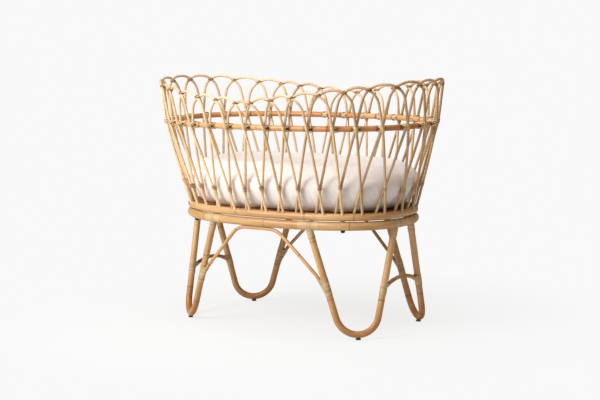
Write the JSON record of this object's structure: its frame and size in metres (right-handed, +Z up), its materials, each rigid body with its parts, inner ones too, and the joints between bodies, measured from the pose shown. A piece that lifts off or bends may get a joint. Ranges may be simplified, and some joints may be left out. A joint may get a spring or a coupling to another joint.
{
  "type": "bassinet on stand",
  "caption": "Oval rattan bassinet: a basket of interlaced hoops with a mattress, bolted on a stand with looped legs and arched braces.",
  "frame": {"origin": "on the floor, under the middle of the oval", "axes": "+X along the bassinet's length, +Z up, so Y runs across it"},
  "size_m": [1.0066, 0.5662, 0.7834],
  "materials": {
    "rattan_rod": "matte",
    "rattan_leg": "satin",
    "rattan_ring": "satin",
    "rattan_rail": "satin",
    "rattan_brace": "satin",
    "dark_metal": "satin",
    "pale_metal": "satin",
    "rubber_glide": "matte",
    "base_board": "matte",
    "cotton": "matte"
  },
  "bodies": {
    "stand": {"back_brace": "rattan_brace", "bolt_back_left": "dark_metal", "bolt_back_right": "dark_metal", "bolt_front_left": "dark_metal", "bolt_front_right": "dark_metal", "front_brace": "rattan_brace", "glide_back_left": "rubber_glide", "glide_back_right": "rubber_glide", "glide_front_left": "rubber_glide", "glide_front_right": "rubber_glide", "left_end_arch": "rattan_brace", "leg_back_left": "rattan_leg", "leg_back_right": "rattan_leg", "leg_front_left": "rattan_leg", "leg_front_right": "rattan_leg", "right_end_arch": "rattan_brace", "stand_ring": "rattan_ring", "washer_back_left": "pale_metal", "washer_back_right": "pale_metal", "washer_front_left": "pale_metal", "washer_front_right": "pale_metal"},
    "basket": {"base_panel": "base_board", "basket_ring": "rattan_ring", "hoop_01": "rattan_rod", "hoop_02": "rattan_rod", "hoop_03": "rattan_rod", "hoop_04": "rattan_rod", "hoop_05": "rattan_rod", "hoop_06": "rattan_rod", "hoop_07": "rattan_rod", "hoop_08": "rattan_rod", "hoop_09": "rattan_rod", "hoop_10": "rattan_rod", "hoop_11": "rattan_rod", "hoop_12": "rattan_rod", "hoop_13": "rattan_rod", "hoop_14": "rattan_rod", "hoop_15": "rattan_rod", "hoop_16": "rattan_rod", "hoop_17": "rattan_rod", "hoop_18": "rattan_rod", "hoop_19": "rattan_rod", "hoop_20": "rattan_rod", "hoop_21": "rattan_rod", "hoop_22": "rattan_rod", "hoop_23": "rattan_rod", "hoop_24": "rattan_rod", "hoop_25": "rattan_rod", "hoop_26": "rattan_rod", "hoop_27": "rattan_rod", "hoop_28": "rattan_rod", "hoop_29": "rattan_rod", "hoop_30": "rattan_rod", "hoop_31": "rattan_rod", "hoop_32": "rattan_rod", "left_cross_bar": "rattan_brace", "mid_rail": "rattan_rail", "right_cross_bar": "rattan_brace"},
    "mattress": {"mattress": "cotton"}
  },
  "joints": [
    {"name": "basket_lift", "type": "slide", "parent": "stand", "child": "basket", "axis": [0, 0, 1], "range_m": [0, 0.2]},
    {"name": "mattress_lift", "type": "slide", "parent": "basket", "child": "mattress", "axis": [0, 0, 1], "range_m": [0, 0.4]}
  ]
}
